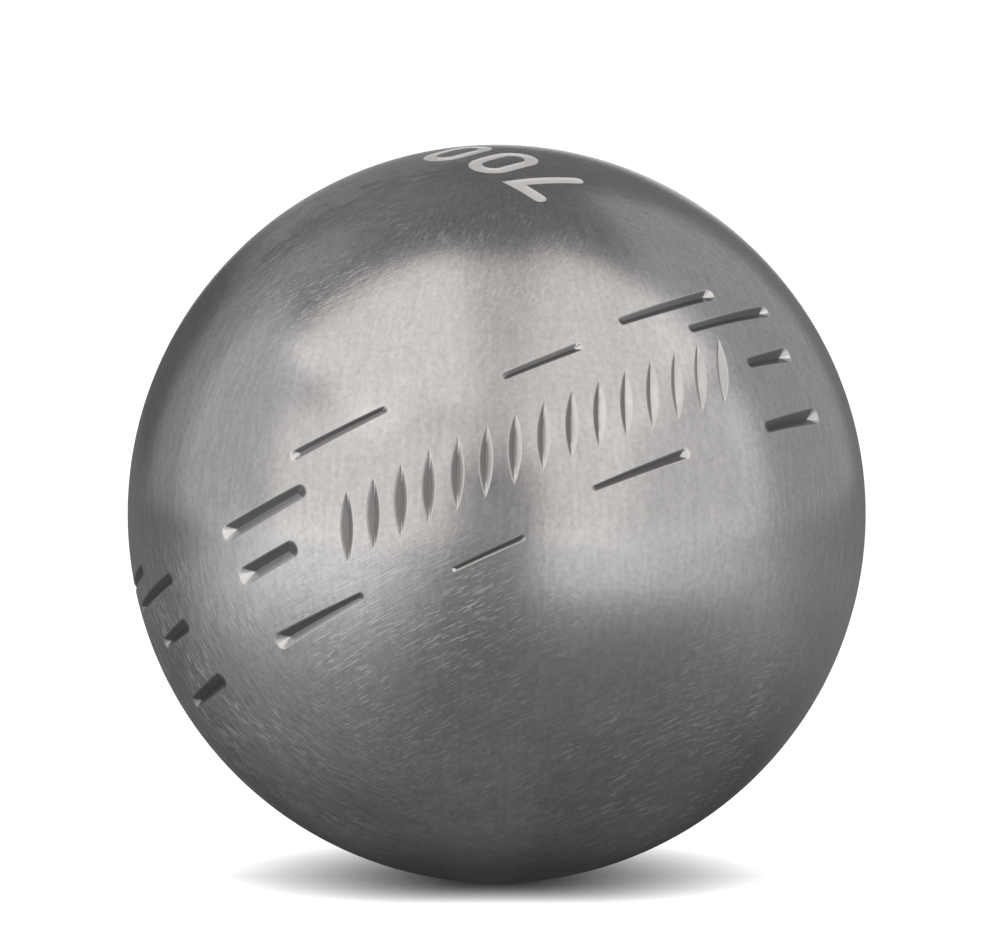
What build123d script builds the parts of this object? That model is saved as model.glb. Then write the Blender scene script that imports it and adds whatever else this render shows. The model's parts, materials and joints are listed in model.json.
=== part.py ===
# Petanque boule of welded steel.
#
# Two pressed half shells are welded rim to rim and ground to one ball, and
# a die then stamps a band of marks over the joint, three times round. All of
# it is drawn about the turning axis as Z, with the joint in the XY plane, and
# turned at the end into the lie of the photograph: origin at the middle of
# the ball, Z up, seen along +Y. Lengths are in mm and angles in degrees.
from build123d import *

import os
from dataclasses import dataclass
from math import asin, ceil, cos, degrees, radians, sin, sqrt, tan

# Ball
BALL_DIAMETER = 74.0
WALL = 6.13

# Weld between the half shells
BEVEL_ANGLE = 35.0        # of each rim, from the joint plane
ROOT_FACE = 1.5           # unbevelled land at the inner edge of a rim
ROOT_GAP = 1.0            # between the two lands
ROOT_BEAD_WIDTH = 4.0     # of the bead the weld leaves inside
ROOT_BEAD_HEIGHT = 0.8

# Stamping die
PRESSING_TURNS = (0.0, 129.0, 240.0)   # set by eye, so not quite even
FLANK_ANGLE = 52.0        # of a V mark, from the surface normal
END_SLOPE = 25.0          # of the hip that closes a dash, from the surface
TOOL_RISE = 0.6           # how far a cutter stands out of the ball
TOOL_LEAD = 0.25          # how far it runs past the end of a mark
STATION_STEP = 2.5        # between two cross-sections of a cutter

# Row of slanted grains along the middle of the band
GRAIN_COUNT = 15
GRAIN_PITCH = 4.6
GRAIN_LENGTH = 7.0
GRAIN_WIDTH = 1.3
GRAIN_SLANT = 25.0        # from the meridian
GRAIN_STATIONS = 6

# Lie of the ball in the photograph
LIE_LEAN = 28.0           # of the turning axis, from vertical
LIE_TOWARDS = 150.0       # bearing of that lean, from +X
LIE_SPIN = 130.7          # of the first pressing about the turning axis


@dataclass
class Dash:
    """A V groove along a parallel, placed from the middle of its pressing."""
    latitude: float
    start: float
    end: float
    start_width: float
    end_width: float


DASHES = [
    Dash(latitude=13.4, start=-36.6, end=-19.5, start_width=1.05, end_width=0.75),
    Dash(latitude=8.0, start=-53.4, end=-36.0, start_width=1.70, end_width=1.45),
    Dash(latitude=1.0, start=-53.2, end=-41.0, start_width=1.80, end_width=1.70),
    Dash(latitude=-10.0, start=-52.6, end=-34.5, start_width=1.70, end_width=0.80),
    Dash(latitude=10.5, start=-2.0, end=11.5, start_width=0.80, end_width=0.90),
    Dash(latitude=-12.5, start=-20.5, end=-8.5, start_width=0.45, end_width=0.60),
    Dash(latitude=-10.0, start=3.5, end=20.5, start_width=0.60, end_width=1.10),
    Dash(latitude=12.0, start=19.0, end=39.0, start_width=0.90, end_width=1.30),
    Dash(latitude=7.5, start=30.0, end=50.5, start_width=0.90, end_width=1.30),
    Dash(latitude=0.0, start=38.0, end=50.0, start_width=1.10, end_width=1.60),
    Dash(latitude=-10.0, start=36.5, end=52.0, start_width=1.20, end_width=1.70),
]

RADIUS = BALL_DIAMETER / 2
CAVITY_RADIUS = RADIUS - WALL
HALF_GAP = ROOT_GAP / 2
FLANK = tan(radians(FLANK_ANGLE))
HIP = tan(radians(END_SLOPE))
FULL_TURN = 360.0


def elevation(radius, height):
    """Angle over the joint plane of the point of a circle at a height."""
    return degrees(asin(height / radius))


def arc(radius, low, high):
    return CenterArc((0, 0), radius, low, high - low)


def bevel_top_height():
    """Height at which the bevel of the upper rim comes out of the ball."""
    root = CAVITY_RADIUS + ROOT_FACE
    run = cos(radians(BEVEL_ANGLE))
    rise = sin(radians(BEVEL_ANGLE))
    half = root * run + HALF_GAP * rise
    left = root ** 2 + HALF_GAP ** 2 - RADIUS ** 2
    length = sqrt(half ** 2 - left) - half
    return HALF_GAP + length * rise


BEVEL_TOP = elevation(RADIUS, bevel_top_height())
LAND_EDGE = elevation(CAVITY_RADIUS, HALF_GAP)
BEAD_TOE = elevation(CAVITY_RADIUS, ROOT_BEAD_WIDTH / 2)


def spin(edges):
    """Solid of revolution of a closed outline drawn as radius and height."""
    return revolve(Plane.XZ * make_face(edges), Axis.Z)


def rim(side):
    """Bevel and land of one rim, from the outside of the ball inwards."""
    outside = arc(RADIUS, 0, side * BEVEL_TOP) @ 1
    inside = arc(CAVITY_RADIUS, 0, side * LAND_EDGE) @ 1
    root = (CAVITY_RADIUS + ROOT_FACE, side * HALF_GAP)
    return [Line(outside, root), Line(root, inside)]


def half_shell(side):
    pole = side * FULL_TURN / 4
    outer = arc(RADIUS, side * BEVEL_TOP, pole)
    inner = arc(CAVITY_RADIUS, side * LAND_EDGE, pole)
    return spin([outer, inner, Line(outer @ 1, inner @ 1)] + rim(side))


def weld_ring():
    """Weld that fills both bevels and the gap, with its bead inside."""
    outer = arc(RADIUS, -BEVEL_TOP, BEVEL_TOP)
    upper = arc(CAVITY_RADIUS, LAND_EDGE, BEAD_TOE)
    lower = arc(CAVITY_RADIUS, -LAND_EDGE, -BEAD_TOE)
    crown = (CAVITY_RADIUS - ROOT_BEAD_HEIGHT, 0)
    bead = ThreePointArc(upper @ 1, crown, lower @ 1)
    return spin([outer, upper, lower, bead] + rim(1) + rim(-1))


def v_section(normal, along, depth, lean):
    """Triangle across a mark, with its root a depth under the ball.

    Lean is the slope of the die's stroke to the normal, and shifts the root.
    """
    root = depth * lean
    height = depth + TOOL_RISE
    left = root - height * (FLANK + lean)
    right = root + height * (FLANK - lean)
    across = Plane(origin=normal * RADIUS, x_dir=normal.cross(along), z_dir=along)
    corners = [(root, -depth), (right, TOOL_RISE), (left, TOOL_RISE)]
    return across * Polygon(*corners, align=None)


def dash_cutter(dash, turn):
    """Groove of changing depth that follows a parallel, hipped at its ends.

    The die closes square to the turning axis, so the groove leans with its latitude.
    """
    lean = tan(radians(dash.latitude))
    parallel = RADIUS * cos(radians(dash.latitude))
    length = parallel * radians(dash.end - dash.start)
    first = dash.start_width / 2 / FLANK
    last = dash.end_width / 2 / FLANK
    inner = length - (first + last) / HIP
    steps = ceil(inner / STATION_STEP)
    stations = [(-TOOL_LEAD, -TOOL_LEAD * HIP)]
    for step in range(steps + 1):
        share = step / steps
        stations.append((first / HIP + inner * share, first + (last - first) * share))
    stations.append((length + TOOL_LEAD, -TOOL_LEAD * HIP))
    sections = []
    for distance, depth in stations:
        longitude = turn + dash.start + degrees(distance / parallel)
        east = Vector(0, 1, 0).rotate(Axis.Z, longitude)
        outward = Vector(1, 0, 0).rotate(Axis.Y, -dash.latitude).rotate(Axis.Z, longitude)
        sections.append(v_section(outward, east, depth, lean))
    return loft(sections, ruled=True)


def grain_cutter(longitude):
    """Boat-shaped notch that slants over the joint along a great circle."""
    outward = Vector(1, 0, 0).rotate(Axis.Z, longitude)
    heading = Vector(0, 0, 1).rotate(Axis(origin=(0, 0, 0), direction=outward), -GRAIN_SLANT)
    reach = GRAIN_LENGTH / 2
    deepest = GRAIN_WIDTH / 2 / FLANK
    sections = []
    for step in range(GRAIN_STATIONS + 1):
        share = 2 * step / GRAIN_STATIONS - 1
        distance = share * (reach + TOOL_LEAD)
        depth = deepest * (1 - (distance / reach) ** 2)
        bend = distance / RADIUS
        normal = outward * cos(bend) + heading * sin(bend)
        along = heading * cos(bend) - outward * sin(bend)
        sections.append(v_section(normal, along, depth, 0))
    return loft(sections, ruled=True)


def mark_cutters():
    cutters = []
    for turn in PRESSING_TURNS:
        for dash in DASHES:
            cutters.append(dash_cutter(dash, turn))
        for grain in range(GRAIN_COUNT):
            place = grain - (GRAIN_COUNT - 1) / 2
            cutters.append(grain_cutter(turn + place * GRAIN_PITCH))
    return cutters


def make_nodes():
    marks = mark_cutters()
    lie = Rot(Z=LIE_TOWARDS) * Rot(Y=LIE_LEAN) * Rot(Z=LIE_SPIN)
    blanks = {
        "upper_half_shell": half_shell(1),
        "lower_half_shell": half_shell(-1),
        "weld_seam": weld_ring(),
    }
    return {name: lie * (blank - marks) for name, blank in blanks.items()}


os.makedirs("parts", exist_ok=True)
for node, shape in make_nodes().items():
    export_step(shape, f"parts/{node}.step")
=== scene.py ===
"""Looks of a welded steel petanque boule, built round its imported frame.

The three solids of the ball are made again as fine meshes: each stamped mark
is a set of nested loops that steps down from a rounded lip to a rounded root,
and the ground surface between the marks is one triangulated skin with true
round normals. Marks are laid out in mm about the turning axis and turned
into the ball's lie at the end. The frame is in metres, Z up.
"""
import json
from dataclasses import dataclass, field
from math import ceil, cos, pi, radians, sin, sqrt, tan

import bmesh
import bpy
import numpy as np
from mathutils import Matrix, Vector
from mathutils.geometry import delaunay_2d_cdt


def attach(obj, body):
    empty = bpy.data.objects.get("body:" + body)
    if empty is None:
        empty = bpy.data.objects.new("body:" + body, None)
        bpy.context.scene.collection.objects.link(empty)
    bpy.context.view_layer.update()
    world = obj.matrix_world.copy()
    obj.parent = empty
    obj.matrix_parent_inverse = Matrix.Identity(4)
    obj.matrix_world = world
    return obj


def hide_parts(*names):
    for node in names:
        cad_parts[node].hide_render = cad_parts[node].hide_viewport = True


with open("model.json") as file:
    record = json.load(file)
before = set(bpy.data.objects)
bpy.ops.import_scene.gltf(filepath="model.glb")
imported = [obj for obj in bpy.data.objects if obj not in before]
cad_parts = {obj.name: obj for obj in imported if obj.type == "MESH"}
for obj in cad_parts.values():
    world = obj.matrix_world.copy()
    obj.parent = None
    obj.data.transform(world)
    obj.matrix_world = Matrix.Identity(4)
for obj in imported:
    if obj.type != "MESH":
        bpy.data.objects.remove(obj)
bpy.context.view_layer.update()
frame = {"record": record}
MOUNTS = {mount["name"]: mount for mount in frame["record"]["mounts"]}

MM = 0.001
TINY = 1e-12

# Ball and weld, in mm
BALL_RADIUS = MOUNTS["ground_rest"]["dims"]["r_mm"]
WALL = 6.13
BEVEL_ANGLE = 35.0
ROOT_FACE = 1.5
ROOT_GAP = 1.0
ROOT_BEAD_WIDTH = 4.0
ROOT_BEAD_HEIGHT = 0.8
CAVITY_RADIUS = BALL_RADIUS - WALL

# Lie of the ball, in degrees
LIE_LEAN = 28.0
LIE_TOWARDS = 150.0
LIE_SPIN = 130.7

# Stamping die: lengths in mm, places in degrees from the middle of a pressing
PRESSING_TURNS = (0.0, 129.0, 240.0)
ONE_SIDED_PAINT_PRESSINGS = (True, False, False)   # whether a pressing has the painted hip highlight on its outer hips only, with a painted lit low flank in the west
LIT_FLANK_WEST_OF = -15.0        # from the middle of a pressing, west of which the low flank gets a lighter tone that paints its light
FLANK_SLOPE = 38.0
HIP_SLOPE = 25.0
LIP = 0.06                     # half the width of the rounding at a mark's edge
LIP_LIMIT = 0.3                # most of a flank that the lip may take
ROOT_ROUND = 0.02
ROOT_LIMIT = 0.4
DASH_END_ROUND = 0.7           # length of a dash's round end, by half its width
GRAIN_COUNT = 15
GRAIN_PITCH = 4.6
GRAIN_LENGTH = 7.0
GRAIN_WIDTH = 1.3
GRAIN_SLANT = 25.0
GRAIN_ROOT_SHARE = 0.5         # how far the root of a notch stops short of its ends
FLANK_RISE = tan(radians(FLANK_SLOPE))
HIP_RUN = FLANK_RISE / tan(radians(HIP_SLOPE))

# Weight in grams, engraved near the top
NUMBER = "700"
NUMBER_LATITUDE = 52.0
NUMBER_LONGITUDE = 29.5
DIGIT_PITCH = 6.65
DIGIT_WIDTH = 3.7
DIGIT_HEIGHT = 6.2
DIGIT_STROKE = 1.2
DIGIT_DEPTH = 0.16
DIGIT_WALL = 0.07
DIGIT_WALL_FALL = (0.0, 0.15, 0.5, 0.85, 1.0)   # shares of the depth, from the lip inwards
SEVEN_FOOT = 3.0               # half a digit over how far its foot is left of the middle
NOUGHT_SQUARING = 4.0          # how soon its round ends turn into straight sides

# Fineness of the meshes
RIM_POINTS = 240
SKIN_STEP = 1.5
SKIN_CLEARANCE = 0.55          # of a skin point from an edge, in steps
SKIN_INSET = 0.7               # of the first row from the rim, in steps
SKIN_ROW = 0.87                # between two rows, in steps
SKIN_END = 0.5                 # of the last row from the far rim, in steps
SKIN_TOLERANCE = 1e-6
WHOLE_HULL = 0                 # the triangulation's setting that keeps every triangle
EDGE_CHUNK = 1000
JOINED_DIGITS = 5              # decimals that two points share when they are one
DASH_STEP = 0.6
LOOP_END_POINTS = 5
GRAIN_POINTS = 12
NOUGHT_POINTS = 48
DOME_ROWS = 14
BEAD_ROWS = 6

# Material slots of each piece
GROUND, STAMPED, HIP_HIGHLIGHT_PAINTED, LIT_FLANK_PAINTED, ENGRAVED, INSIDE = range(6)


@dataclass
class Dash:
    """A V groove along a parallel, placed from the middle of its pressing."""
    latitude: float
    start: float
    end: float
    start_width: float
    end_width: float


DASHES = [
    Dash(latitude=13.4, start=-36.6, end=-19.5, start_width=1.05, end_width=0.75),
    Dash(latitude=8.0, start=-53.4, end=-36.0, start_width=1.70, end_width=1.45),
    Dash(latitude=1.0, start=-53.2, end=-41.0, start_width=1.80, end_width=1.70),
    Dash(latitude=-10.0, start=-52.6, end=-34.5, start_width=1.70, end_width=0.80),
    Dash(latitude=10.5, start=-2.0, end=11.5, start_width=0.80, end_width=0.90),
    Dash(latitude=-12.5, start=-20.5, end=-8.5, start_width=0.45, end_width=0.60),
    Dash(latitude=-10.0, start=3.5, end=20.5, start_width=0.60, end_width=1.10),
    Dash(latitude=12.0, start=19.0, end=39.0, start_width=0.90, end_width=1.30),
    Dash(latitude=7.5, start=30.0, end=50.5, start_width=0.90, end_width=1.30),
    Dash(latitude=0.0, start=38.0, end=50.0, start_width=1.10, end_width=1.60),
    Dash(latitude=-10.0, start=36.5, end=52.0, start_width=1.20, end_width=1.70),
]


@dataclass
class Mark:
    """Nested loops of one mark, outermost first, as points on the ball and depths."""
    points: list
    depths: list
    finish: int
    island: bool = False
    # faces of the mark whose lighter finish paints a highlight or a lit flank
    painted_light: dict = field(default_factory=dict)


# Places on the ball, as unit vectors about the turning axis

def place(latitude, longitude):
    """Unit vectors at a latitude and longitude in radians."""
    latitude, longitude = np.broadcast_arrays(latitude, longitude)
    level = np.cos(latitude)
    parts = [level * np.cos(longitude), level * np.sin(longitude), np.sin(latitude)]
    return np.stack(parts, -1)


def compass(latitude, longitude):
    """Outward, east and north directions at a point."""
    outward = place(latitude, longitude)
    east = np.array([-sin(longitude), cos(longitude), 0.0])
    return outward, east, np.cross(outward, east)


def wrap(outward, right, up, flat):
    """Lays flat points in mm onto the ball round one of its points."""
    reach = np.hypot(flat[:, 0], flat[:, 1])
    bend = (reach / BALL_RADIUS)[:, None]
    reach = np.maximum(reach, TINY)[:, None]
    heading = (flat[:, :1] * right + flat[:, 1:2] * up) / reach
    return outward * np.cos(bend) + heading * np.sin(bend)


# Marks

def eased(level, lip, root):
    """Depth share of a flank that rounds over at the lip and out at the root."""
    if level <= -lip:
        return 0.0
    if level < lip:
        return (level + lip) ** 2 / (4 * lip)
    left = 1 - level
    if left >= root:
        return level
    return 1 - root / 2 - left ** 2 / (2 * root)


def flank_levels(half_width):
    """Lip and root rounding as shares of a flank, and the levels that draw them."""
    lip = min(LIP / half_width, LIP_LIMIT)
    root = min(ROOT_ROUND / half_width, ROOT_LIMIT)
    middle = (lip + 1 - root) / 2
    levels = [-lip, -lip / 2, 0, lip / 2, lip, middle, 1 - root, 1 - root / 2, 1]
    return lip, root, levels


def dash_loop(dash, length, level):
    """Outline of a dash at a level, from 0 at the lip to 1 at the root."""
    steps = ceil(length / DASH_STEP)
    shift = FLANK_RISE * tan(radians(dash.latitude))
    halves = np.array([dash.start_width, dash.end_width]) / 2
    tips = np.array([0, length]) + np.array([1, -1]) * level * HIP_RUN * halves

    def half(x):
        return np.interp(x, [0, length], halves)

    def side(x, sign):
        return half(x) * (sign * (1 - level) + level * shift)

    spans = (side(tips, 1) - side(tips, -1)) / 2
    corners = tips + np.array([1, -1]) * DASH_END_ROUND * spans
    along = np.linspace(corners[0], corners[1], steps + 1)
    across = np.linspace(-1, 1, LOOP_END_POINTS + 2)[1:-1]
    drop = DASH_END_ROUND * (1 - np.sqrt(1 - across ** 2))
    far = np.stack([tips[1] - spans[1] * drop, spans[1] * across], 1)
    near = np.stack([tips[0] + spans[0] * drop, spans[0] * across], 1)
    far[:, 1] += half(tips[1]) * level * shift
    near[:, 1] += half(tips[0]) * level * shift
    low = np.stack([along, side(along, -1)], 1)
    high = np.stack([along, side(along, 1)], 1)[::-1]
    flat = np.concatenate([low, far, high, near[::-1]])
    return flat, half(flat[:, 0])


def painted_light_faces(dash, count, one_sided):
    """Faces of a dash with a lighter finish that paints light, by their place round its loop.

    In most pressings both hips get a lighter tone that paints their highlight. In a one-sided pressing
    only the outer hip does, and to the west the low flank also gets a lighter tone that paints its
    light.
    """
    side = (count - 2 * LOOP_END_POINTS) // 2
    low = range(side - 1)
    far = range(side - 1, side + LOOP_END_POINTS)
    near = range(2 * side + LOOP_END_POINTS - 1, count)
    if not one_sided:
        return {at: HIP_HIGHLIGHT_PAINTED for at in (*far, *near)}
    middle = (dash.start + dash.end) / 2
    painted_light = {at: HIP_HIGHLIGHT_PAINTED for at in (near if middle < 0 else far)}
    if middle < LIT_FLANK_WEST_OF:
        painted_light.update({at: LIT_FLANK_PAINTED for at in low})
    return painted_light


def dash_mark(dash, turn, one_sided):
    """Groove whose root shifts with latitude, as the die closes square to the axis."""
    latitude = radians(dash.latitude)
    parallel = BALL_RADIUS * cos(latitude)
    length = parallel * radians(dash.end - dash.start)
    lip, root, levels = flank_levels((dash.start_width + dash.end_width) / 4)
    points, depths = [], []
    for level in levels:
        flat, deepest = dash_loop(dash, length, level)
        longitude = turn + radians(dash.start) + flat[:, 0] / parallel
        points.append(place(latitude + flat[:, 1] / BALL_RADIUS, longitude))
        depths.append(deepest * FLANK_RISE * eased(level, lip, root))
    return Mark(points, depths, STAMPED, painted_light=painted_light_faces(dash, len(flat), one_sided))


def grain_mark(longitude):
    """Boat-shaped notch that slants across the joint, its east flank given a lighter tone that paints
    its light.
    """
    outward, east, north = compass(0.0, longitude)
    slant = radians(GRAIN_SLANT)
    along = north * cos(slant) + east * sin(slant)
    side = np.cross(along, outward)
    reach, half = GRAIN_LENGTH / 2, GRAIN_WIDTH / 2
    lip, root, levels = flank_levels(half)
    share = np.linspace(-1, 1, GRAIN_POINTS + 1)
    round_trip = np.concatenate([share, share[-2:0:-1]])
    sign = np.concatenate([np.ones(len(share)), -np.ones(len(share) - 2)])
    belly = 1 - round_trip ** 2
    floor = half * (1 - (round_trip * (1 - GRAIN_ROOT_SHARE)) ** 2)
    points, depths = [], []
    for level in levels:
        x = round_trip * reach * (1 - GRAIN_ROOT_SHARE * level)
        y = sign * (1 - level) * half * belly
        points.append(wrap(outward, along, side, np.stack([x, y], 1)))
        depths.append(floor * FLANK_RISE * eased(level, lip, root))
    return Mark(points, depths, STAMPED, painted_light={at: LIT_FLANK_PAINTED for at in range(GRAIN_POINTS)})


def stroke_loop(path, half):
    """Outline round an open path at half a stroke's width, with round ends."""
    runs = np.diff(path, axis=0)
    runs /= np.linalg.norm(runs, axis=1)[:, None]
    normals = np.stack([-runs[:, 1], runs[:, 0]], 1)
    joints = [normals[0]]
    for before, after in zip(normals, normals[1:]):
        joints.append((before + after) / (1 + before @ after))
    joints.append(normals[-1])
    left = path + half * np.array(joints)
    right = path - half * np.array(joints)
    turn = np.linspace(0, pi, LOOP_END_POINTS + 2)[1:-1, None]
    last = path[-1] + half * (np.cos(turn) * normals[-1] + np.sin(turn) * runs[-1])
    first = path[0] - half * (np.cos(turn) * normals[0] + np.sin(turn) * runs[0])
    return np.concatenate([left, last, right[::-1], first])


def divided(path, step, clear):
    """The same path with points a step apart, clear of its corners."""
    points = [path[:1]]
    for start, end in zip(path, path[1:]):
        length = np.linalg.norm(end - start)
        count = ceil((length - 2 * clear) / step)
        along = np.append(np.linspace(clear, length - clear, count + 1), length)
        points.append(start + (end - start) * (along / length)[:, None])
    return np.concatenate(points)


def digit_walls():
    """Offsets from the stroke's edge, outside first, with the depth at each."""
    offsets = [DIGIT_WALL, DIGIT_WALL / 2, 0, -DIGIT_WALL / 2, -DIGIT_WALL]
    return [(DIGIT_STROKE / 2 + o, DIGIT_DEPTH * s) for o, s in zip(offsets, DIGIT_WALL_FALL)]


def seven_loops():
    """Loops of a 7 from the outside in, and that it has no island."""
    w, h = DIGIT_WIDTH / 2, DIGIT_HEIGHT / 2
    corners = np.array([(-w, h), (w, h), (-w / SEVEN_FOOT, -h)])
    path = divided(corners, DASH_STEP, DIGIT_STROKE)
    loops = [(stroke_loop(path, half), depth) for half, depth in digit_walls()]
    return loops + [(stroke_loop(path, 0.0), DIGIT_DEPTH)], False


def nought_loops():
    """Loops of a 0 from the outside to its island, and that it has one."""
    w, h = DIGIT_WIDTH / 2, DIGIT_HEIGHT / 2
    turn = np.linspace(0, 2 * pi, NOUGHT_POINTS, endpoint=False)
    out = np.stack([np.cos(turn), np.sin(turn)], 1)
    lift = np.clip(np.sin(turn) * NOUGHT_SQUARING, -1, 1) * (h - w)
    middle = out * w + np.stack([0 * lift, lift], 1)
    walls = digit_walls()
    outer = [(middle + out * half, depth) for half, depth in walls]
    inner = [(middle - out * half, depth) for half, depth in reversed(walls)]
    return outer + inner, True


def number_marks():
    """The weight's digits, read northwards, with their tops to the west."""
    latitude, longitude = radians(NUMBER_LATITUDE), radians(NUMBER_LONGITUDE)
    outward, east, north = compass(latitude, longitude)
    glyphs = {"7": seven_loops, "0": nought_loops}
    marks = []
    for index, digit in enumerate(NUMBER):
        loops, island = glyphs[digit]()
        shift = np.array([(index - (len(NUMBER) - 1) / 2) * DIGIT_PITCH, 0.0])
        points = [wrap(outward, north, -east, flat + shift) for flat, _ in loops]
        depths = [np.full(len(flat), depth) for flat, depth in loops]
        marks.append(Mark(points, depths, ENGRAVED, island))
    return marks


def band_marks():
    """Every dash and notch of the three pressings."""
    marks = []
    for degrees, one_sided in zip(PRESSING_TURNS, ONE_SIDED_PAINT_PRESSINGS):
        turn = radians(degrees)
        marks += [dash_mark(dash, turn, one_sided) for dash in DASHES]
        for grain in range(GRAIN_COUNT):
            step = grain - (GRAIN_COUNT - 1) / 2
            marks.append(grain_mark(turn + radians(step * GRAIN_PITCH)))
    return marks


# Weld joint, as radius and height about the turning axis

def joint_profile():
    """Rim of the upper shell from the outside in: bevel top, root and land edge."""
    root = np.array([CAVITY_RADIUS + ROOT_FACE, ROOT_GAP / 2])
    rise = np.array([cos(radians(BEVEL_ANGLE)), sin(radians(BEVEL_ANGLE))])
    half = root @ rise
    length = sqrt(half ** 2 - root @ root + BALL_RADIUS ** 2) - half
    land = np.array([sqrt(CAVITY_RADIUS ** 2 - root[1] ** 2), root[1]])
    return root + length * rise, root, land


BEVEL_TOP, BEVEL_ROOT, LAND_EDGE = joint_profile()
SEAM_LATITUDE = np.arctan2(BEVEL_TOP[1], BEVEL_TOP[0])
RIM_TURNS = np.arange(RIM_POINTS) * 2 * pi / RIM_POINTS


def dome_profile(side):
    """Hidden faces of a half shell: bevel, land and cavity, from the rim to the pole."""
    first = np.arctan2(LAND_EDGE[1], LAND_EDGE[0])
    angles = np.linspace(first, pi / 2, DOME_ROWS + 1)[1:-1]
    cavity = CAVITY_RADIUS * np.stack([np.cos(angles), np.sin(angles)], 1)
    rows = np.concatenate([[BEVEL_ROOT, LAND_EDGE], cavity])
    return rows * [1, side]


def bead_profile():
    """Hidden faces of the weld, from the upper bevel round the inner bead to the lower."""
    toe = np.array([sqrt(CAVITY_RADIUS ** 2 - (ROOT_BEAD_WIDTH / 2) ** 2), ROOT_BEAD_WIDTH / 2])
    share = np.linspace(1, -1, BEAD_ROWS + 1)
    crown = toe[0] - ROOT_BEAD_HEIGHT * (1 - share ** 2)
    bead = np.stack([crown, toe[1] * share], 1)
    mirrored = np.array([1, -1])
    return np.concatenate([
        [BEVEL_ROOT, LAND_EDGE], bead, [LAND_EDGE * mirrored, BEVEL_ROOT * mirrored]])


# Meshes

class Solid:
    """Points in mm about the turning axis, how deep they lie, and faces with their finish."""

    def __init__(self):
        self.points = np.zeros((0, 3))
        self.depths = np.zeros(0)
        self.faces = []
        self.finishes = []

    def extend(self, spots, depths):
        """Adds points, and gives their numbers."""
        start = len(self.points)
        self.points = np.concatenate([self.points, spots])
        self.depths = np.concatenate([self.depths, depths])
        return np.arange(start, len(self.points))

    def add(self, units, depths):
        """New points under the ball's surface."""
        return self.extend(units * (BALL_RADIUS - np.asarray(depths))[:, None], depths)

    def add_circle(self, radius, height):
        """A ring of hidden points round the axis."""
        spots = [radius * np.cos(RIM_TURNS), radius * np.sin(RIM_TURNS), np.full(RIM_POINTS, height)]
        return self.extend(np.stack(spots, 1), np.full(RIM_POINTS, np.nan))

    def add_face(self, corners, finish):
        self.faces.append([int(corner) for corner in corners])
        self.finishes.append(finish)

    def bridge(self, loops, finish, painted_light=None):
        """Rows of quads between loops of equal length, some of them with a lighter finish that paints
        light.
        """
        count = len(loops[0])
        for loop, following in zip(loops, loops[1:]):
            for here in range(count):
                ahead = (here + 1) % count
                corners = (loop[here], loop[ahead], following[ahead], following[here])
                self.add_face(corners, (painted_light or {}).get(here, finish))

    def add_mark(self, mark):
        """A mark's faces, and its outermost loop with the innermost one if that is an island."""
        loops = [self.add(p, d) for p, d in zip(mark.points, mark.depths)]
        self.bridge(loops, mark.finish, mark.painted_light)
        return loops[0], loops[-1] if mark.island else None


def inside_loop(spots, loop):
    """Which flat spots lie inside a closed flat loop."""
    inside = np.zeros(len(spots), bool)
    for (ax, ay), (bx, by) in zip(loop, np.roll(loop, -1, 0)):
        crosses = (ay > spots[:, 1]) != (by > spots[:, 1])
        rise = by - ay if by != ay else 1.0
        inside ^= crosses & (spots[:, 0] < ax + (spots[:, 1] - ay) * (bx - ax) / rise)
    return inside


def anticlockwise(flat, loop):
    """The same flat loop, as a list that runs anticlockwise."""
    ring = flat[loop]
    ahead = np.roll(ring, -1, 0)
    area = (ring[:, 0] * ahead[:, 1] - ring[:, 1] * ahead[:, 0]).sum()
    return list(map(int, loop if area > 0 else loop[::-1]))


def unrolled(points, radius_of):
    """Flat places round the axis, each at the radius that its height on a unit ball gives."""
    unit = points / np.linalg.norm(points, axis=1)[:, None]
    radius = radius_of(unit[:, 2])
    turn = np.arctan2(unit[:, 1], unit[:, 0])
    return np.stack([radius * np.cos(turn), radius * np.sin(turn)], 1)


def add_skin(solid, radius_of, borders, holes, islands, lattice):
    """Triangulates the ground surface between borders and round the marks' loops."""
    edge_points = np.concatenate(borders + holes + islands)
    edge_flat = unrolled(solid.points[edge_points], radius_of)
    lattice_flat = unrolled(lattice, radius_of)
    free = np.ones(len(lattice), bool)
    for start in range(0, len(edge_flat), EDGE_CHUNK):
        chunk = edge_flat[start:start + EDGE_CHUNK]
        gap = np.linalg.norm(lattice_flat[:, None] - chunk[None], axis=2).min(1)
        free &= gap > SKIN_STEP * SKIN_CLEARANCE
    for hole in holes:
        free &= ~inside_loop(lattice_flat, unrolled(solid.points[hole], radius_of))
    inner = solid.add(lattice[free], np.zeros(free.sum()))
    numbers = np.concatenate([edge_points, inner])
    flat = np.concatenate([edge_flat, lattice_flat[free]])
    local = {int(number): at for at, number in enumerate(numbers)}
    loops = [[local[int(n)] for n in loop] for loop in holes + islands]
    rims = [[local[int(n)] for n in loop] for loop in borders]
    regions = [anticlockwise(flat, np.array(loop)) for loop in loops + rims[1:]]
    edges = [(a, b) for a, b in zip(rims[0], rims[0][1:] + rims[0][:1])]
    spots = [Vector(spot) for spot in flat]
    out = delaunay_2d_cdt(spots, edges, regions, WHOLE_HULL, SKIN_TOLERANCE, True)
    _, _, triangles, first_of, _, region_of = out
    hole_count, island_count = len(holes), len(islands)
    for triangle, found in zip(triangles, region_of):
        on_island = any(hole_count <= r < hole_count + island_count for r in found)
        if found and not on_island:
            continue
        solid.add_face([numbers[first_of[corner][0]] for corner in triangle], GROUND)


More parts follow.
